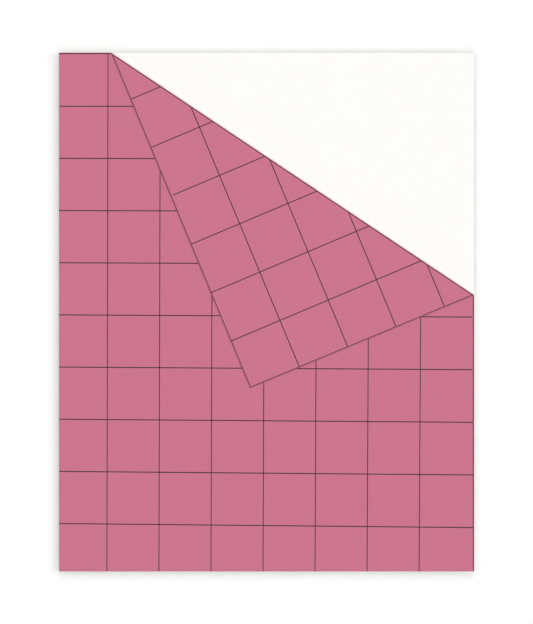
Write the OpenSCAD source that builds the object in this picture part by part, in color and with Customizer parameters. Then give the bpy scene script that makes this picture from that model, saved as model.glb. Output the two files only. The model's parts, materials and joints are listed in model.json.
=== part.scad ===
// Craft scoring board: a paper-wrapped greyboard faced with a ruled card, whose top right
// corner folds back over a scored crease.
// Origin: centre of the footprint, on the surface that the pads stand on.
// +X to the right edge, +Y to the top edge, +Z up out of the ruled face.

/* [Board] */
// Width of the board, left edge to right edge
board_w = 203.2; // [180:0.1:320]
// Length of the board, bottom edge to top edge
board_l = 254; // [220:0.1:400]
// Thickness of the greyboard core
core_t = 2.5; // [1.5:0.1:6]
// Thickness of the paper wrapped round the core
wrap_t = 0.2; // [0.15:0.05:0.4]
// Rounding of the wrapped board's edges
edge_r = 0.35; // [0.2:0.05:0.5]
// Width of the wrap's strips that turn in under the core
turn_in_w = 18; // [16:1:30]
// Thickness of the liner glued over the turned-in strips
liner_t = 0.2; // [0.15:0.05:0.4]
// Margin from the board's edge to the liner's edge
liner_inset = 3; // [2:0.5:4]

/* [Pads] */
// Diameter of a non-slip pad
pad_d = 10; // [6:0.5:11]
// Height of a non-slip pad
pad_t = 1.5; // [1:0.1:4]
// Bevel round a pad's lower rim
pad_bevel = 0.3; // [0.1:0.05:0.5]
// Distance from the board's edges to a pad's centre
pad_inset = 10.5; // [10:0.5:10.5]

/* [Score card] */
// Thickness of the card
card_t = 0.4; // [0.35:0.05:0.8]
// Thickness of the film that sticks the card down
film_t = 0.1; // [0.05:0.05:0.2]
// Margin from the card's edges to the film's edges
film_inset = 1; // [0.5:0.1:3]

/* [Fold] */
// Distance along the top edge from the left edge to the crease
crease_from_left = 25.4; // [15:0.1:60]
// Distance down the right edge from the top edge to the crease
crease_drop = 118.7; // [90:0.1:160]
// Gap between the folded corner and the card under it
fold_gap = 0.05; // [0.03:0.01:0.2]
// Width of the inked score along the crease
crease_ink_w = 0.46; // [0.2:0.02:0.5]
// Distance from the fold's outer edge to the middle of that score
crease_ink_inset = 0.38; // [0.36:0.01:0.5]

/* [Ruling] */
// Thickness of the ink in a score
ink_t = 0.03; // [0.02:0.01:0.03]
// Depth of the scores that run across, and of the border
across_depth = 0.06; // [0.05:0.01:0.07]
// Depth of the scores that run down, whose ink passes below the others
down_depth = 0.12; // [0.11:0.01:0.14]
// Width of the lines across the face
face_across_w = 0.48; // [0.2:0.02:0.8]
// Width of the lines down the face
face_down_w = 0.42; // [0.2:0.02:0.8]
// Distance from the top edge to the first line across the face, at mid width
face_first_across = 26.35; // [20:0.05:32]
// Spacing of the lines across the face
face_pitch_across = 25.65; // [20:0.01:32]
// Distance from the left edge to the first line down the face, at mid height
face_first_down = 23.75; // [18:0.05:30]
// Spacing of the lines down the face
face_pitch_down = 25.55; // [20:0.01:32]
// First of the lines across the face that stop short of the border
short_first = 5; // [1:1:7]
// Last of the lines across the face that stop short of the border
short_last = 6; // [1:1:8]
// How far short of the border they stop
short_gap = 0.3; // [0.1:0.1:2]

/* [Border] */
// Width of the border line
border_w = 0.48; // [0.2:0.02:0.6]
// Distance from the top edge to the middle of the border line
border_inset_top = 0.55; // [0.4:0.05:1]
// Distance from the right edge to the middle of the border line
border_inset_right = 0.35; // [0.35:0.05:1]

/* [Ruling on the back of the corner] */
// Width of the lines across and down the back
back_line_w = 0.45; // [0.2:0.02:0.8]
// Distance from the top edge to the first line across the back, at the right edge
back_first_across = 26.2; // [20:0.1:32]
// Spacing of the lines across the back
back_pitch_across = 25.65; // [20:0.01:32]
// Distance from the right edge to the first line down the back, at the top edge
back_first_down = 24.8; // [18:0.1:30]
// Spacing of the lines down the back
back_pitch_down = 25.63; // [20:0.01:32]
// Line down the back that stops short of the outline, counted from the right
back_short = 4; // [1:1:6]
// How far short of the outline it stops
back_short_gap = 0.8; // [0.1:0.1:2]
// Width of the outline on the back
outline_w = 0.36; // [0.2:0.02:0.46]
// Distance from the card's edges to the middle of the outline on the back
outline_inset = 0.37; // [0.25:0.01:0.6]

/* [Hidden] */
$fn = 48;

// edges of the footprint
left_x = -board_w / 2;
right_x = board_w / 2;
top_y = board_l / 2;

// heights of the layers, from the surface up
liner_z = pad_t;
wrap_z = liner_z + liner_t;
core_z = wrap_z + wrap_t;
core_top = core_z + core_t;
board_top = core_top + wrap_t;
card_z = board_top + film_t;
card_top = card_z + card_t;
hinge_z = card_top + fold_gap / 2;

// the crease, which is the fold's outer edge and the hinge's axis
crease_start = [left_x + crease_from_left, top_y];
crease_end = [right_x, top_y - crease_drop];
crease_run = crease_end - crease_start;
crease_len = norm(crease_run);
crease_angle = atan2(crease_run.y, crease_run.x);
crease_normal = [-crease_run.y, crease_run.x] / crease_len;
fold_r = card_t + fold_gap / 2;

// hand ruling: how the lines lean, how far their ends stay from other ink, and how far the
// crease's ink lies below the round of the fold
across_fan = 0.00113;
across_fan_start = -0.67;
down_lean = 0.0022;
down_fan = 0.00063;
back_across_lean = 0.0014;
back_down_lean = 0.006;
ink_clear = 0.03;
ink_sink = 0.01;
face_clear = fold_r + ink_clear;
back_clear = crease_ink_inset + crease_ink_w / 2 + ink_clear;
crease_lip = crease_ink_inset - crease_ink_w / 2;
crease_depth = fold_r - sqrt(fold_r^2 - (fold_r - crease_lip)^2) + ink_t + ink_sink;
border_reach = border_w / 2 + ink_clear;
outline_reach = outline_inset + outline_w / 2 + ink_clear;
edge_margin = 5;

// how many lines fit
face_across_n = 1 + floor((board_l - face_first_across - edge_margin) / face_pitch_across);
face_down_n = 1 + floor((board_w - face_first_down - edge_margin) / face_pitch_down);
back_across_n = 1 + floor((crease_drop - back_first_across) / back_pitch_across);
back_down_n = 1 + floor((board_w - crease_from_left - back_first_down) / back_pitch_down);

// slit that separates two turned-in strips at a mitred corner
mitre_slit = 0.15;
mitre_start = 1;

// cut past a face by this much, and reach past the whole board by that much
past = 1;
reach = board_w + board_l;

// ---- shared shapes ----

// centred slab between two heights
module slab(width, length, low, high)
    translate([-width / 2, -length / 2, low]) cube([width, length, high - low]);

// bar along X with its four long edges rounded
module rounded_bar(length, width, height, r) {
    translate([-length / 2, r - width / 2, 0]) cube([length, width - 2 * r, height]);
    translate([-length / 2, -width / 2, r]) cube([length, width, height - 2 * r]);
    for (y = [r - width / 2, width / 2 - r], z = [r, height - r])
        translate([-length / 2, y, z]) rotate([0, 90, 0]) cylinder(r = r, h = length);
}

// local frame on the hinge's axis: X along the crease, +Y towards the card's corner
module along_crease()
    translate([crease_start.x, crease_start.y, hinge_z]) rotate([0, 0, crease_angle]) children();

// the half turn that folds the corner over
module folded_over()
    along_crease() rotate([180, 0, 0]) rotate([0, 0, -crease_angle])
        translate([-crease_start.x, -crease_start.y, -hinge_z]) children();

// everything on one side of the crease, further from it than setback; side is 1 or -1
module crease_side(side, setback)
    along_crease() translate([-reach, side > 0 ? setback : -setback - reach, -reach / 2])
        cube([2 * reach, reach, reach]);

// the part of the board's footprint on one side of the crease
module card_zone(side, setback, low, high)
    intersection() {
        slab(board_w, board_l, low, high);
        crease_side(side, setback);
    }

// half of the fold: a quarter round between the hinge plane and the card's outer face
module fold_half(side)
    intersection() {
        slab(board_w, board_l, card_z, hinge_z);
        crease_side(side, 0);
        along_crease() translate([-past, side * fold_r, 0]) rotate([0, 90, 0])
            cylinder(r = fold_r, h = crease_len + 2 * past);
        along_crease() translate([-past, -fold_r, -fold_r])
            cube([crease_len + 2 * past, 2 * fold_r, fold_r]);
    }

// blank card on one side of the crease, laid flat, with its half of the fold
module card_blank(side) {
    card_zone(side, fold_r, card_z, card_top);
    fold_half(side);
}

// one ruled stroke: a bar turned about a point, between two distances along its own line
module stroke(at, angle, from, to, width, low, high)
    translate([at.x, at.y, low]) rotate([0, 0, angle]) translate([from, -width / 2, 0])
        cube([to - from, width, high - low]);

// ---- strokes on the face ----

function across_y(j) = top_y - face_first_across - j * face_pitch_across;
function across_stop(j) = (j + 1 >= short_first && j + 1 <= short_last) ? short_gap : 0;

module face_across_strokes(low, high)
    for (j = [0 : face_across_n - 1])
        stroke([0, across_y(j)], -atan(across_fan * (j - across_fan_start)), -reach,
            right_x - border_inset_right - border_reach - across_stop(j), face_across_w, low, high);

module face_down_strokes(low, high)
    for (k = [0 : face_down_n - 1])
        stroke([left_x + face_first_down + k * face_pitch_down, 0],
            90 - atan(down_lean + down_fan * k), -reach,
            top_y - border_inset_top - border_reach, face_down_w, low, high);

module face_border_strokes(low, high) {
    stroke([right_x - border_inset_right, top_y - border_inset_top], 0,
        -reach, border_w / 2, border_w, low, high);
    stroke([right_x - border_inset_right, top_y - border_inset_top], 90,
        -reach, border_w / 2, border_w, low, high);
}

// ---- strokes on the back of the corner, in the card's flat frame ----

module back_across_strokes(low, high)
    for (j = [0 : back_across_n - 1])
        stroke([right_x, top_y - back_first_across - j * back_pitch_across],
            -atan(back_across_lean), -reach, -outline_reach, back_line_w, low, high);

module back_down_strokes(low, high)
    for (k = [0 : back_down_n - 1])
        stroke([right_x - back_first_down - k * back_pitch_down, top_y],
            90 - atan(back_down_lean), -reach,
            -outline_reach - (k + 1 == back_short ? back_short_gap : 0), back_line_w, low, high);

module back_outline_strokes(low, high) {
    stroke([right_x - outline_inset, top_y - outline_inset], 0,
        -reach, outline_w / 2, outline_w, low, high);
    stroke([right_x - outline_inset, top_y - outline_inset], 90,
        -reach, outline_w / 2, outline_w, low, high);
}

module crease_stroke(low, high)
    stroke(crease_start + crease_ink_inset * crease_normal, crease_angle, -reach, reach,
        crease_ink_w, low, high);

// scores cut into the face on one side of the crease
module face_scores(side)
    intersection() {
        crease_side(side, face_clear);
        union() {
            face_across_strokes(card_top - across_depth, card_top + past);
            face_down_strokes(card_top - down_depth, card_top + past);
            face_border_strokes(card_top - across_depth, card_top + past);
        }
    }

// scores cut into the back of the corner
module back_scores() {
    intersection() {
        crease_side(1, back_clear);
        union() {
            back_across_strokes(card_z - past, card_z + across_depth);
            back_down_strokes(card_z - past, card_z + down_depth);
            back_outline_strokes(card_z - past, card_z + across_depth);
        }
    }
    crease_stroke(card_z - past, card_z + crease_depth);
}

// ink at the bottom of the face's scores of one depth
module face_ink(side, depth)
    color("dimgray") intersection() {
        card_zone(side, face_clear, card_z, card_top);
        children();
    }

// ---- board ----

// stiff core
module board_core()
    color("tan") slab(board_w - 2 * wrap_t, board_l - 2 * wrap_t, core_z, core_top);

// off-white paper: one sheet over the top, down the sides and turned in under the core
module board_wrap() {
    height = board_top - wrap_z;
    window_w = board_w - 2 * turn_in_w;
    window_l = board_l - 2 * turn_in_w;
    slit_len = (turn_in_w - mitre_start) * sqrt(2);
    color("ivory") difference() {
        translate([0, 0, wrap_z]) intersection() {
            rounded_bar(board_w, board_l, height, edge_r);
            rotate([0, 0, 90]) rounded_bar(board_l, board_w, height, edge_r);
        }
        slab(board_w - 2 * wrap_t, board_l - 2 * wrap_t, core_z, core_top);
        slab(window_w, window_l, wrap_z - past, core_z + wrap_t);
        for (sx = [-1, 1], sy = [-1, 1])
            translate([sx * window_w / 2, sy * window_l / 2, wrap_z - past])
                rotate([0, 0, atan2(sy, sx)]) translate([-past, -mitre_slit / 2, 0])
                    cube([slit_len + past, mitre_slit, past + 2 * wrap_t]);
    }
}

// liner over the turned-in strips, sunk where it meets the core between them
module back_liner() {
    window_w = board_w - 2 * turn_in_w;
    window_l = board_l - 2 * turn_in_w;
    color("whitesmoke") difference() {
        union() {
            slab(board_w - 2 * liner_inset, board_l - 2 * liner_inset, liner_z, wrap_z);
            slab(window_w, window_l, liner_z, core_z);
        }
        slab(window_w - 2 * liner_t, window_l - 2 * liner_t, liner_z - past, core_z - liner_t);
    }
}

// non-slip pad near one corner
module pad(sx, sy)
    color("gray") translate([sx * (right_x - pad_inset), sy * (top_y - pad_inset), 0])
        rotate_extrude() polygon([[0, 0], [pad_d / 2 - pad_bevel, 0], [pad_d / 2, pad_bevel],
            [pad_d / 2, pad_t], [0, pad_t]]);

module pad_bottom_left() pad(-1, -1);
module pad_bottom_right() pad(1, -1);
module pad_top_left() pad(-1, 1);
module pad_top_right() pad(1, 1);

// ---- card that is stuck to the board ----

// double-sided film under the card
module mounting_film()
    color("lightgray") intersection() {
        slab(board_w - 2 * film_inset, board_l - 2 * film_inset, board_top, card_z);
        crease_side(-1, fold_r + film_inset);
    }

// card, scored on its face
module ruled_card()
    color([0.81, 0.47, 0.57]) difference() {
        card_blank(-1);
        face_scores(-1);
    }

module face_lines_across()
    face_ink(-1) face_across_strokes(card_top - across_depth, card_top - across_depth + ink_t);

module face_lines_down()
    face_ink(-1) face_down_strokes(card_top - down_depth, card_top - down_depth + ink_t);

module face_border()
    face_ink(-1) face_border_strokes(card_top - across_depth, card_top - across_depth + ink_t);

// ---- corner that turns on the crease, drawn folded over ----

// corner of the card, scored on both faces
module folded_corner()
    color([0.81, 0.47, 0.57]) folded_over() difference() {
        card_blank(1);
        face_scores(1);
        back_scores();
    }

// inked score along the fold
module crease_line()
    color("brown") folded_over() intersection() {
        slab(board_w, board_l, card_z, card_top);
        crease_stroke(card_z + crease_depth - ink_t, card_z + crease_depth);
    }

// ink at the bottom of the back's scores
module back_ink()
    color("dimgray") folded_over() intersection() {
        card_zone(1, back_clear, card_z, card_top);
        children();
    }

module corner_back_lines_across()
    back_ink() back_across_strokes(card_z + across_depth - ink_t, card_z + across_depth);

module corner_back_lines_down()
    back_ink() back_down_strokes(card_z + down_depth - ink_t, card_z + down_depth);

module corner_back_outline()
    back_ink() back_outline_strokes(card_z + across_depth - ink_t, card_z + across_depth);

module corner_face_lines_across()
    folded_over() face_ink(1)
        face_across_strokes(card_top - across_depth, card_top - across_depth + ink_t);

module corner_face_lines_down()
    folded_over() face_ink(1)
        face_down_strokes(card_top - down_depth, card_top - down_depth + ink_t);

module corner_face_border()
    folded_over() face_ink(1)
        face_border_strokes(card_top - across_depth, card_top - across_depth + ink_t);

board_core();
board_wrap();
back_liner();
pad_bottom_left();
pad_bottom_right();
pad_top_left();
pad_top_right();
mounting_film();
ruled_card();
face_lines_across();
face_lines_down();
face_border();
folded_corner();
crease_line();
corner_back_lines_across();
corner_back_lines_down();
corner_back_outline();
corner_face_lines_across();
corner_face_lines_down();
corner_face_border();
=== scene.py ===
"""Looks of the scoring board: materials, floor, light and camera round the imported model."""
import json
import math

import bmesh
import bpy
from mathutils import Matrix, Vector, noise as smooth_noise

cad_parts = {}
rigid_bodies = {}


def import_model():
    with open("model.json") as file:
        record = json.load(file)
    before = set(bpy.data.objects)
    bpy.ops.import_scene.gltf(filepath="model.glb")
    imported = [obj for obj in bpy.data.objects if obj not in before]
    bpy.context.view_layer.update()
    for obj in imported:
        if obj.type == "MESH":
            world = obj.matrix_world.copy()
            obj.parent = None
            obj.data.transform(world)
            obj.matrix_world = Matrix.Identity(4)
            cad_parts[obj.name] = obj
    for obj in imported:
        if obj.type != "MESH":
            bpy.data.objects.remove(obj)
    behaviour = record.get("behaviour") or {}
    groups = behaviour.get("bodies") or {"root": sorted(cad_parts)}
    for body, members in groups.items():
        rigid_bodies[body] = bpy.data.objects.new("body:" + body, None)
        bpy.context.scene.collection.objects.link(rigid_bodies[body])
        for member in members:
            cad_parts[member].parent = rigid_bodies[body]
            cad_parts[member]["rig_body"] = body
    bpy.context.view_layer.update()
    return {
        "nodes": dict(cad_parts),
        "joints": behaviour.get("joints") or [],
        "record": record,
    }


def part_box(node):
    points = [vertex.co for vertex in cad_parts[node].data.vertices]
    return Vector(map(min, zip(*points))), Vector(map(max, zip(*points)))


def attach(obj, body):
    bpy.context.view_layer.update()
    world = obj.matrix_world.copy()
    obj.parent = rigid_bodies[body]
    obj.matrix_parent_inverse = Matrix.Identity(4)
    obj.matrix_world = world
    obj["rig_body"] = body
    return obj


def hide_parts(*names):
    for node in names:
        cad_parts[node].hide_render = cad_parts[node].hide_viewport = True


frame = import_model()

nodes = frame["nodes"]
MM = 0.001

# ---------------------------------------------------------------- colours, linear

PINK = (0.5233, 0.1452, 0.2274)
PINK_FIBRE = (0.560, 0.171, 0.255)
PINK_CUT = (0.60, 0.25, 0.33)
INK = (0.012, 0.019, 0.015)
INK_THIN = (0.070, 0.056, 0.058)
# ink along the fold, darkened to stand for the fold's shade as well: painted shade
CREASE_INK_AND_SHADE = (0.075, 0.016, 0.025)
CREASE_INK_AND_SHADE_THIN = (0.150, 0.036, 0.055)
WRAP = (0.8748, 0.8706, 0.8413)
WRAP_FIBRE = (0.887, 0.882, 0.857)
LINER = (0.800, 0.785, 0.735)
LINER_FIBRE = (0.700, 0.675, 0.610)
GREYBOARD = (0.300, 0.275, 0.240)
GREYBOARD_FLECK = (0.130, 0.115, 0.100)
FILM = (0.780, 0.780, 0.760)
FILM_CLOUD = (0.700, 0.700, 0.680)
RUBBER = (0.060, 0.060, 0.062)
RUBBER_DUST = (0.105, 0.103, 0.100)
FLOOR = (0.905, 0.905, 0.905)
FLOOR_PATCH = (0.900475, 0.900475, 0.900475)

# ---------------------------------------------------------------- grain of the surfaces

NOISE_RANGE = (0.3, 0.7)        # nearly all of a noise's values lie between these
NOISE_PEAKS = (0.5, 0.72)       # and its peaks, which stand for single fibres, between these

PAPER_CLOUD_SIZE = 7 * MM       # width of the mottling in paper and card
PAPER_CLOUD_SHARE = 0.5         # its strength beside the fibres'
PAPER_GRAIN_SIZE = 0.16 * MM    # width of the finest bumps
PAPER_ROUGHNESS_STEP = 0.05     # how much rougher the fibres are, and smoother what lies between them
FIBRE_WIDTH = 0.13 * MM
FIBRE_LENGTH = 1.6 * MM
CARD_TOOTH = 0.008 * MM         # height of the bumps in each paper
WRAP_TOOTH = 0.006 * MM
LINER_TOOTH = 0.010 * MM
CUT_EDGE = (0.55, 0.25)         # height of the normal where a cut edge's colour begins, and is full

INK_POOL_SIZE = 2.2 * MM        # width of the pools where ink lies thicker
INK_SKIP_SIZE = 0.14 * MM       # width of the specks that the ink barely covers
INK_SKIP_SHARE = (0.15, 0.7)    # how far a speck thins the ink, in a pool and away from one
INK_ROUGHNESS = (0.48, 0.75)    # of full ink, and of the thinnest
INK_RELIEF = 0.004 * MM

BOARD_FLECK_SIZE = 0.8 * MM
BOARD_FLECK_RANGE = (0.56, 0.68)
BOARD_FLECK_RELIEF = 0.01 * MM
BOARD_FIBRE_SIZE = 2.5 * MM
BOARD_FIBRE_RELIEF = 0.03 * MM
BOARD_PLIES = 6.0               # how many times finer the fibres are through the board than along it
BOARD_PALE = 1.25               # how many times brighter its pale fibres are
BOARD_ROUGHNESS = (0.8, 0.95)   # between these, where the fibres' noise is in BOARD_ROUGH_RANGE
BOARD_ROUGH_RANGE = (0.2, 0.8)

FILM_CLOUD_SIZE = 3 * MM
FILM_CLOUD_RANGE = (0.35, 0.65)
FILM_RELIEF = 0.01 * MM
FILM_ROUGHNESS = (0.25, 0.45)

RUBBER_GRAIN_SIZE = 0.22 * MM
RUBBER_GRAIN_RELIEF = 0.02 * MM
RUBBER_DUST_SIZE = 1.4 * MM
RUBBER_DUST_RANGE = (0.45, 0.75)
RUBBER_DUST_RELIEF = 0.01 * MM
RUBBER_ROUGHNESS = (0.62, 0.8)  # clean, and dusty

FLOOR_PATCH_SIZE = 40 * MM


# ---------------------------------------------------------------- node helpers

def new_material(name):
    """A new material with its Principled shader; returns the material and its shader."""
    material = bpy.data.materials.new(name)
    material.use_nodes = True
    return material, material.node_tree.nodes["Principled BSDF"]


def add(material, kind, **inputs):
    """A new node in a material or world, with the given inputs: a socket is linked, a value is set.

    An input goes by its name, with _ for a space, or by its number, as in _0.
    """
    node = material.node_tree.nodes.new(kind)
    for name, value in inputs.items():
        socket = node.inputs[int(name[1:])] if name[0] == "_" else node.inputs[name.replace("_", " ")]
        if isinstance(value, bpy.types.NodeSocket):
            material.node_tree.links.new(value, socket)
        else:
            socket.default_value = value
    return node


def place(material):
    """The surface's own coordinates, which move with the piece."""
    return add(material, "ShaderNodeTexCoord").outputs["Object"]


def noise(material, size, detail, distortion=0.0, squeeze=None):
    """Noise whose features are about size across.

    squeeze gives (x, y, z) factors that make it finer, or coarser where they are below 1.
    """
    vector = place(material)
    if squeeze:
        vector = add(material, "ShaderNodeMapping", Vector=vector, Scale=squeeze).outputs["Vector"]
    node = add(material, "ShaderNodeTexNoise", Vector=vector, Scale=1 / size, Detail=detail,
               Distortion=distortion)
    return node.outputs["Fac"]


def remap(material, value, start, end=(0.0, 1.0)):
    """value, which runs from start[0] to start[1], made to run from end[0] to end[1], and clamped."""
    return add(material, "ShaderNodeMapRange", Value=value, From_Min=start[0], From_Max=start[1],
               To_Min=end[0], To_Max=end[1]).outputs["Result"]


def mix(material, share, first, second):
    """A colour between first and second. A Mix node's colours go in at 6 and 7 and come out at 2."""
    node = material.node_tree.nodes.new("ShaderNodeMix")
    node.data_type = "RGBA"
    for socket, value in ((node.inputs[0], share), (node.inputs[6], first), (node.inputs[7], second)):
        if isinstance(value, bpy.types.NodeSocket):
            material.node_tree.links.new(value, socket)
        else:
            socket.default_value = value if isinstance(value, float) else (*value, 1.0)
    return node.outputs[2]


def math_node(material, operation, first, second=0.0):
    """One step of arithmetic on sockets or numbers."""
    node = add(material, "ShaderNodeMath", _0=first, _1=second)
    node.operation = operation
    return node.outputs[0]


def bump(material, heights):
    """Bumps in a chain; heights are (height socket, depth in metres) from coarse to fine."""
    normal = None
    for height, depth in heights:
        node = add(material, "ShaderNodeBump", Height=height, Distance=depth, Strength=1.0)
        if normal:
            material.node_tree.links.new(normal, node.inputs["Normal"])
        normal = node.outputs["Normal"]
    return normal


def link(material, socket, shader_input):
    """Joins a node's output to a shader's input."""
    material.node_tree.links.new(socket, shader_input)


def cut_edge(material):
    """1 on faces that stand on edge in the sheet, 0 on its two faces."""
    normal = add(material, "ShaderNodeTexCoord").outputs["Normal"]
    z = add(material, "ShaderNodeSeparateXYZ", Vector=normal).outputs["Z"]
    return remap(material, math_node(material, "ABSOLUTE", z), CUT_EDGE)


# ---------------------------------------------------------------- materials

def felted_fibres(material):
    """1 on the fibres that lie on top of a sheet, along it and across it, and 0 between them."""
    thin = FIBRE_WIDTH / FIBRE_LENGTH
    along = noise(material, FIBRE_WIDTH, detail=2.0, distortion=0.6, squeeze=(thin, 1.0, 1.0))
    across = noise(material, FIBRE_WIDTH, detail=2.0, distortion=0.6, squeeze=(1.0, thin, 1.0))
    return remap(material, math_node(material, "MAXIMUM", along, across), NOISE_PEAKS)


def paper(name, base, fibre_colour, edge_colour, roughness, tooth):
    """Paper or card: soft mottling, fine fibres and tooth, and a colour of its own where it is cut."""
    material, shader = new_material(name)
    mottling = noise(material, PAPER_CLOUD_SIZE, detail=4.0)
    cloud = remap(material, mottling, NOISE_RANGE, (0.0, PAPER_CLOUD_SHARE))
    fibre = felted_fibres(material)
    share = math_node(material, "MULTIPLY", math_node(material, "ADD", cloud, fibre), 0.5)
    body = mix(material, share, base, fibre_colour)
    link(material, mix(material, cut_edge(material), body, edge_colour), shader.inputs["Base Color"])
    roughnesses = (roughness - PAPER_ROUGHNESS_STEP, roughness + PAPER_ROUGHNESS_STEP)
    link(material, remap(material, fibre, (0.0, 1.0), roughnesses), shader.inputs["Roughness"])
    shader.inputs["Specular IOR Level"].default_value = 0.25
    shader.inputs["Sheen Weight"].default_value = 0.04
    grain = noise(material, PAPER_GRAIN_SIZE, detail=3.0)
    surface = bump(material, [(cloud, tooth), (fibre, tooth), (grain, tooth)])
    link(material, surface, shader.inputs["Normal"])
    return material


def ink(name, base, thin):
    """Dry ink: darker where it pooled, thinner on the paper's high fibres."""
    material, shader = new_material(name)
    pool = noise(material, INK_POOL_SIZE, detail=3.0)
    skip = remap(material, noise(material, INK_SKIP_SIZE, detail=4.0), NOISE_PEAKS)
    thinning = remap(material, pool, NOISE_RANGE, INK_SKIP_SHARE)
    share = math_node(material, "MULTIPLY", skip, thinning)
    link(material, mix(material, share, base, thin), shader.inputs["Base Color"])
    rough = remap(material, share, (0.0, INK_SKIP_SHARE[1]), INK_ROUGHNESS)
    link(material, rough, shader.inputs["Roughness"])
    shader.inputs["Specular IOR Level"].default_value = 0.14
    link(material, bump(material, [(skip, INK_RELIEF)]), shader.inputs["Normal"])
    return material


def greyboard():
    """Recycled board: dark and pale flecks in matted grey fibres."""
    material, shader = new_material("greyboard")
    speckle = noise(material, BOARD_FLECK_SIZE, detail=5.0, distortion=0.8)
    fleck = remap(material, speckle, BOARD_FLECK_RANGE)
    matted = noise(material, BOARD_FIBRE_SIZE, detail=5.0, distortion=0.6,
                   squeeze=(1.0, 1.0, BOARD_PLIES))
    pale = tuple(BOARD_PALE * channel for channel in GREYBOARD)
    body = mix(material, remap(material, matted, NOISE_RANGE), GREYBOARD, pale)
    link(material, mix(material, fleck, body, GREYBOARD_FLECK), shader.inputs["Base Color"])
    rough = remap(material, matted, BOARD_ROUGH_RANGE, BOARD_ROUGHNESS)
    link(material, rough, shader.inputs["Roughness"])
    surface = bump(material, [(matted, BOARD_FIBRE_RELIEF), (fleck, BOARD_FLECK_RELIEF)])
    link(material, surface, shader.inputs["Normal"])
    return material


def film():
    """Clear mounting film with cloudy patches in its adhesive."""
    material, shader = new_material("adhesive_film")
    cloud = noise(material, FILM_CLOUD_SIZE, detail=4.0, distortion=0.5)
    patches = remap(material, cloud, FILM_CLOUD_RANGE)
    link(material, mix(material, patches, FILM, FILM_CLOUD), shader.inputs["Base Color"])
    link(material, remap(material, cloud, NOISE_RANGE, FILM_ROUGHNESS), shader.inputs["Roughness"])
    link(material, bump(material, [(cloud, FILM_RELIEF)]), shader.inputs["Normal"])
    return material


def rubber():
    """Soft rubber with a fine moulded grain and a little dust in it."""
    material, shader = new_material("pad_rubber")
    grain = noise(material, RUBBER_GRAIN_SIZE, detail=2.0)
    dust = remap(material, noise(material, RUBBER_DUST_SIZE, detail=5.0), RUBBER_DUST_RANGE)
    link(material, mix(material, dust, RUBBER, RUBBER_DUST), shader.inputs["Base Color"])
    link(material, remap(material, dust, (0.0, 1.0), RUBBER_ROUGHNESS), shader.inputs["Roughness"])
    surface = bump(material, [(dust, RUBBER_DUST_RELIEF), (grain, RUBBER_GRAIN_RELIEF)])
    link(material, surface, shader.inputs["Normal"])
    return material


materials = {
    "pink_card": paper("pink_card", PINK, PINK_FIBRE, PINK_CUT, roughness=0.78, tooth=CARD_TOOTH),
    "ruling_ink": ink("ruling_ink", INK, INK_THIN),
    # the fold's line: ink darkened with the fold's painted shade
    "crease_ink": ink("crease_ink", CREASE_INK_AND_SHADE, CREASE_INK_AND_SHADE_THIN),
    "wrap_paper": paper("wrap_paper", WRAP, WRAP_FIBRE, WRAP, roughness=0.7, tooth=WRAP_TOOTH),
    "liner_paper": paper("liner_paper", LINER, LINER_FIBRE, LINER, roughness=0.85, tooth=LINER_TOOTH),
    "greyboard": greyboard(),
    "adhesive_film": film(),
    "pad_rubber": rubber(),
}
slot_of = {part["node"]: part["material_slot"] for part in frame["record"]["subparts"]}
for node_name, slot_name in slot_of.items():
    slots = nodes[node_name].data.materials
    slots.clear()
    slots.append(materials[slot_name])


def add_piece(mesh, node_name):
    """A piece made of a mesh, which stands for a CAD node and rides and is finished as that node is."""
    mesh.materials.append(materials[slot_of[node_name]])
    piece = bpy.data.objects.new(mesh.name, mesh)
    bpy.context.scene.collection.objects.link(piece)
    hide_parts(node_name)
    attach(piece, nodes[node_name]["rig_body"])


# ---------------------------------------------------------------- drawn lines

INK_SINK = 0.003 * MM       # an across line's surface lies this far below the card's
LOWER_SINK = 0.005 * MM     # and so do the lines that pass under them
INK_CROWN = 0.0015 * MM     # the middle of a line is this much higher than its sides
STATION = 1.1 * MM          # spacing of the cross-sections along a line
PEN_WOBBLE = 0.07           # most that the pen's width varies on each side, as a share of it
PEN_DRIFT = 3.5 * MM        # length over which it varies
PEN_SIDE_SHIFT = 7.0        # keeps the wobble of a stroke's two sides unlike
PEN_POOL = 0.9 * MM         # ink pools at a stroke's ends, over this length
PEN_ROUND = 0.12 * MM       # and the very end is rounded over this one
PEN_TIP = 0.8               # to this share of its width
DECIMALS = 7                # heights and places are compared to this many decimals of a metre
MERGE = 10**-DECIMALS
FLAT = 0.999                # a face is flat if its normal's height is at least this
STRAIGHT = 0.001            # a turn of up to this many radians makes no corner

crease = next(j for j in frame["joints"] if j["name"] == "crease_fold")
crease_point = Vector(crease["pos_m"])
crease_inward = Vector((0, 0, 1)).cross(Vector(crease["axis"])).normalized()


def flat_faces(mesh, up):
    """A bmesh of only a mesh's faces that point straight up (1) or down (-1), with points merged."""
    bm = bmesh.new()
    bm.from_mesh(mesh)
    bmesh.ops.remove_doubles(bm, verts=bm.verts, dist=MERGE)
    bm.normal_update()
    others = [f for f in bm.faces if f.normal.z * up < FLAT]
    bmesh.ops.delete(bm, geom=others, context="FACES")
    return bm


def flat_level(node_name, up):
    """The height of a CAD node's largest flat face on one side."""
    bm = flat_faces(nodes[node_name].data, up)
    areas = {}
    for face in bm.faces:
        height = round(face.verts[0].co.z, DECIMALS)
        areas[height] = areas.get(height, 0.0) + face.calc_area()
    bm.free()
    return max(areas, key=areas.get)


def outlines(node_name, up):
    """The corners of each of a CAD node's flat faces on one side."""
    bm = flat_faces(nodes[node_name].data, up)
    rim = {edge: True for edge in bm.edges if len(edge.link_faces) == 1}
    loops = []
    while rim:
        edge = next(iter(rim))
        first, at = edge.verts
        loop = [first.co.copy()]
        while at != first:
            del rim[edge]
            loop.append(at.co.copy())
            edge = next(e for e in at.link_edges if e in rim)
            at = edge.other_vert(at)
        del rim[edge]
        loops.append(anticlockwise(corners_of(loop)))
    bm.free()
    return sorted(loops, key=lambda loop: tuple(loop[0]))


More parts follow.
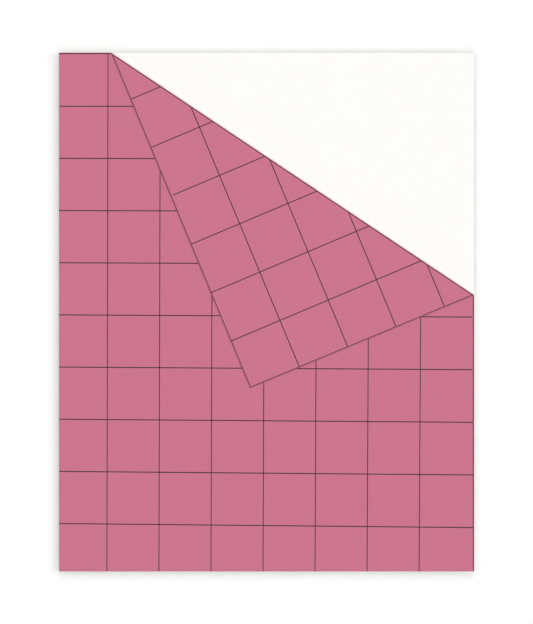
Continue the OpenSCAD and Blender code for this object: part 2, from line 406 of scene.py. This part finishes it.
def corners_of(loop):
    """A loop without the points that lie on straight stretches of it."""
    kept = []
    for i, point in enumerate(loop):
        before, after = point - loop[i - 1], loop[(i + 1) % len(loop)] - point
        if before.length > MERGE and before.angle(after, 0.0) > STRAIGHT:
            kept.append(point)
    return kept


def anticlockwise(corners):
    """The same corners seen from above, anticlockwise from the leftmost one, or the lower of two."""
    twice_area = sum(corners[i - 1].cross(corner).z for i, corner in enumerate(corners))
    if twice_area < 0:
        corners = corners[::-1]
    start = min(range(len(corners)), key=lambda i: (round(corners[i].x, DECIMALS), corners[i].y))
    return corners[start:] + corners[:start]


def bars_of(corners):
    """Four-cornered bars that make up an outline: an L is cut along its mitre."""
    if len(corners) != 6:
        return [corners]
    turns = [(corners[i] - corners[i - 1]).cross(corners[(i + 1) % 6] - corners[i]).z for i in range(6)]
    inner = next(i for i, turn in enumerate(turns) if turn < 0)
    turned = corners[inner:] + corners[:inner]
    return [turned[:4], turned[3:] + turned[:1]]


def face_drop(point, level, hinge_height):
    """How far the round of the fold falls below the flat face at a point."""
    radius = abs(level - hinge_height)
    from_edge = (point - crease_point).dot(crease_inward)
    if abs(from_edge) >= radius:
        return 0.0
    return radius - math.sqrt(radius**2 - (radius - abs(from_edge))**2)


def pen_width(centre, along, length, side):
    """The share of its full width that a stroke has on one side, at a distance along it."""
    to_end = min(along, length - along)
    if to_end < PEN_ROUND / 2:
        return PEN_TIP
    spot = Vector((centre.x / PEN_DRIFT, centre.y / PEN_DRIFT, PEN_SIDE_SHIFT * side))
    wobble = PEN_WOBBLE * (0.5 + 0.5 * smooth_noise.noise(spot))
    return 1.0 - wobble * min(1.0, to_end / PEN_POOL)


def stroke(bm, corners, up, level, bottom, sink):
    """A drawn line along a four-cornered outline: a ring of five points at each station."""
    if (corners[1] - corners[0]).length < (corners[2] - corners[1]).length:
        corners = corners[1:] + corners[:1]
    left_start, left_end, right_end, right_start = corners
    length = (left_end - left_start + right_end - right_start).length / 2
    count = max(2, round(length / STATION))
    tip = PEN_ROUND / length
    stops = [0.0, tip, *[i / count for i in range(1, count)], 1 - tip, 1.0]
    rings = []
    for t in stops:
        left, right = left_start.lerp(left_end, t), right_start.lerp(right_end, t)
        centre = (left + right) / 2
        sides = [centre.lerp(edge, pen_width(centre, t * length, length, side))
                 for side, edge in ((1, left), (2, right))]
        ring = [Vector((sides[0].x, sides[0].y, bottom))]
        for point, crown in ((sides[0], 0.0), (centre, INK_CROWN), (sides[1], 0.0)):
            drop = face_drop(point, level, crease_point.z) + sink - crown
            ring.append(Vector((point.x, point.y, level - up * drop)))
        ring.append(Vector((sides[1].x, sides[1].y, bottom)))
        rings.append([bm.verts.new(point) for point in ring])
    for first, second in zip(rings, rings[1:]):
        for i in range(len(first)):
            j = (i + 1) % len(first)
            bm.faces.new((first[i], first[j], second[j], second[i]))
    bm.faces.new(rings[0][::-1])
    bm.faces.new(rings[-1])


def drawn_lines(node_name, card_name, up, sink):
    """Pen strokes that fill the scores of one CAD ink node, level with the card's face."""
    level = flat_level(card_name, up)
    low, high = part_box(node_name)
    bm = bmesh.new()
    for corners in outlines(node_name, up):
        for bar in bars_of(corners):
            stroke(bm, bar, up, level, low.z if up > 0 else high.z, sink)
    bmesh.ops.remove_doubles(bm, verts=bm.verts, dist=MERGE)
    bmesh.ops.recalc_face_normals(bm, faces=bm.faces)
    mesh = bpy.data.meshes.new("drawn_" + node_name)
    bm.to_mesh(mesh)
    bm.free()
    add_piece(mesh, node_name)


for node_name, card_name, up, sink in (
    ("face_lines_across", "ruled_card", 1, INK_SINK),
    ("face_lines_down", "ruled_card", 1, LOWER_SINK),
    ("face_border", "ruled_card", 1, INK_SINK),
    # this ink along the fold's round also carries the fold's painted shade
    ("crease_line", "folded_corner", 1, INK_SINK),
    ("corner_back_lines_across", "folded_corner", 1, INK_SINK),
    ("corner_back_lines_down", "folded_corner", 1, LOWER_SINK),
    ("corner_back_outline", "folded_corner", 1, INK_SINK),
    ("corner_face_lines_across", "folded_corner", -1, INK_SINK),
    ("corner_face_lines_down", "folded_corner", -1, LOWER_SINK),
    ("corner_face_border", "folded_corner", -1, INK_SINK),
):
    drawn_lines(node_name, card_name, up, sink)


# ---------------------------------------------------------------- moulded pads

PAD_RIM = 0.35 * MM         # rounding of a pad's lower rim
PAD_DISH = 0.4 * MM         # depth of the hollow under its middle
PAD_DISH_END = 0.56         # where the hollow ends, as a share of the pad's radius
PAD_GROOVES = (0.66, 0.78)  # where the grooves run round its foot, as shares of the radius
PAD_GROOVE_W = 0.32 * MM
PAD_GROOVE_DEPTH = 0.14 * MM
PAD_RINGS = 44              # steps between the middle and the rim
PAD_SIDES = 72
PAD_RIM_DEGREES = (60, 70, 80, 90)  # extra rings where the rim's round is steepest
PAD_SETBACK = 0.02 * MM     # the skirt tapers in by this much towards the foot


def pad_foot(r, radius):
    """Height of a pad's underside above what it stands on, at a distance from its middle."""
    edge = radius - PAD_RIM
    if r > edge:
        return PAD_RIM - math.sqrt(max(0.0, PAD_RIM**2 - (r - edge)**2))
    hollow = max(0.0, 1 - r / (PAD_DISH_END * radius))
    height = PAD_DISH * hollow**2 * (3 - 2 * hollow)
    for groove in PAD_GROOVES:
        across = abs(r - groove * radius) / (PAD_GROOVE_W / 2)
        if across < 1:
            height += PAD_GROOVE_DEPTH * (0.5 + 0.5 * math.cos(math.pi * across))
    return height


def moulded_pad(node_name):
    """A round rubber pad turned about its axis, with a hollow, grooved foot."""
    low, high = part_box(node_name)
    centre, radius = (low + high) / 2, (high.x - low.x) / 2
    foot_radius = radius - PAD_SETBACK
    profile = [(foot_radius * i / PAD_RINGS, pad_foot(foot_radius * i / PAD_RINGS, foot_radius))
               for i in range(1, PAD_RINGS)]
    profile += [(foot_radius - PAD_RIM * (1 - math.sin(a)), PAD_RIM * (1 - math.cos(a)))
                for a in map(math.radians, PAD_RIM_DEGREES)]
    profile.append((radius, high.z - low.z))
    bm = bmesh.new()
    middle = bm.verts.new((centre.x, centre.y, low.z + pad_foot(0.0, foot_radius)))
    rings = []
    turns = [2 * math.pi * k / PAD_SIDES for k in range(PAD_SIDES)]
    for r, height in profile:
        points = [(centre.x + r * math.cos(a), centre.y + r * math.sin(a), low.z + height)
                  for a in turns]
        rings.append([bm.verts.new(point) for point in points])
    for k in range(PAD_SIDES):
        bm.faces.new((middle, rings[0][k], rings[0][k - 1]))
    for inner, outer in zip(rings, rings[1:]):
        for k in range(PAD_SIDES):
            bm.faces.new((inner[k], outer[k], outer[k - 1], inner[k - 1]))
    bm.faces.new(rings[-1])
    bmesh.ops.recalc_face_normals(bm, faces=bm.faces)
    for face in bm.faces:
        face.smooth = len(face.verts) < PAD_SIDES
    mesh = bpy.data.meshes.new("moulded_" + node_name)
    bm.to_mesh(mesh)
    bm.free()
    add_piece(mesh, node_name)


for node_name, slot_name in slot_of.items():
    if slot_name == "pad_rubber":
        moulded_pad(node_name)


# ---------------------------------------------------------------- floor, light and camera

FLOOR_HALF = 60.0           # metres from the floor's middle to its sides
TOP_LIGHT = 1.09            # how brightly a white surface that faces up is lit
SOFTBOX_LEAN = math.radians(42)
SOFTBOX_SPREAD = math.radians(46)
SOFTBOXES = {               # each one's share of the light, and the side that it stands on
    "softbox_right": (0.305, 1, 0),
    "softbox_left": (0.20, -1, 0),
    "softbox_top": (0.275, 0, 1),
    "softbox_bottom": (0.22, 0, -1),
}
DOME_LEVEL = 0.02 * TOP_LIGHT
HORIZON_LEVEL = 1.02
HORIZON_HEIGHT = 0.06       # sine of the angle up to which it is bright; it fades by twice this
VIEW_LENGTH = 305.45 * MM   # what the picture's long side takes in at the card's face
LENS = 300.0                # mm, as the sensor is
SENSOR = 36.0
FAR_CLIP = 100.0            # metres


def floor():
    """A pale plane that runs out of every view."""
    material, shader = new_material("floor")
    patch = noise(material, FLOOR_PATCH_SIZE, detail=2.0)
    link(material, mix(material, patch, FLOOR, FLOOR_PATCH), shader.inputs["Base Color"])
    shader.inputs["Roughness"].default_value = 0.95
    shader.inputs["Specular IOR Level"].default_value = 0.0
    corners = [(x * FLOOR_HALF, y * FLOOR_HALF, 0) for x, y in ((-1, -1), (1, -1), (1, 1), (-1, 1))]
    mesh = bpy.data.meshes.new("floor")
    mesh.from_pydata(corners, [], [(0, 1, 2, 3)])
    mesh.materials.append(material)
    obj = bpy.data.objects.new("floor", mesh)
    bpy.context.scene.collection.objects.link(obj)


def softbox(name, share, side_x, side_y):
    """A broad soft lamp that leans in from overhead on one side, and gives a share of the light."""
    data = bpy.data.lights.new(name, "SUN")
    data.energy = share * TOP_LIGHT * math.pi / math.cos(SOFTBOX_LEAN)
    data.angle = SOFTBOX_SPREAD
    obj = bpy.data.objects.new(name, data)
    lean = math.tan(SOFTBOX_LEAN)
    obj.rotation_mode = "QUATERNION"
    obj.rotation_quaternion = Vector((side_x * lean, side_y * lean, 1.0)).to_track_quat("Z", "Y")
    bpy.context.scene.collection.objects.link(obj)


def surroundings():
    """A dim dome that brightens to the floor's white in a narrow band round the horizon."""
    world = bpy.data.worlds.new("studio")
    world.use_nodes = True
    background = world.node_tree.nodes["Background"]
    background.inputs["Color"].default_value = (1.0, 1.0, 1.0, 1.0)
    direction = add(world, "ShaderNodeTexCoord").outputs["Generated"]
    z = add(world, "ShaderNodeSeparateXYZ", Vector=direction).outputs["Z"]
    height = math_node(world, "ABSOLUTE", z)
    fade = (HORIZON_HEIGHT, 2 * HORIZON_HEIGHT)
    level = remap(world, height, fade, (HORIZON_LEVEL, DOME_LEVEL))
    level.node.interpolation_type = "SMOOTHSTEP"
    link(world, level, background.inputs["Strength"])
    bpy.context.scene.world = world


def camera():
    """A camera straight above the card's middle, as in the photograph."""
    low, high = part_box("ruled_card")
    data = bpy.data.cameras.new("camera")
    data.lens = LENS
    data.sensor_width = SENSOR
    data.clip_end = FAR_CLIP
    distance = VIEW_LENGTH * LENS / SENSOR
    obj = bpy.data.objects.new("camera", data)
    obj.location = ((low.x + high.x) / 2, (low.y + high.y) / 2, high.z + distance)
    bpy.context.scene.collection.objects.link(obj)
    bpy.context.scene.camera = obj


floor()
for name, (share, side_x, side_y) in SOFTBOXES.items():
    softbox(name, share, side_x, side_y)
surroundings()
camera()
bpy.context.scene.view_settings.view_transform = "Standard"
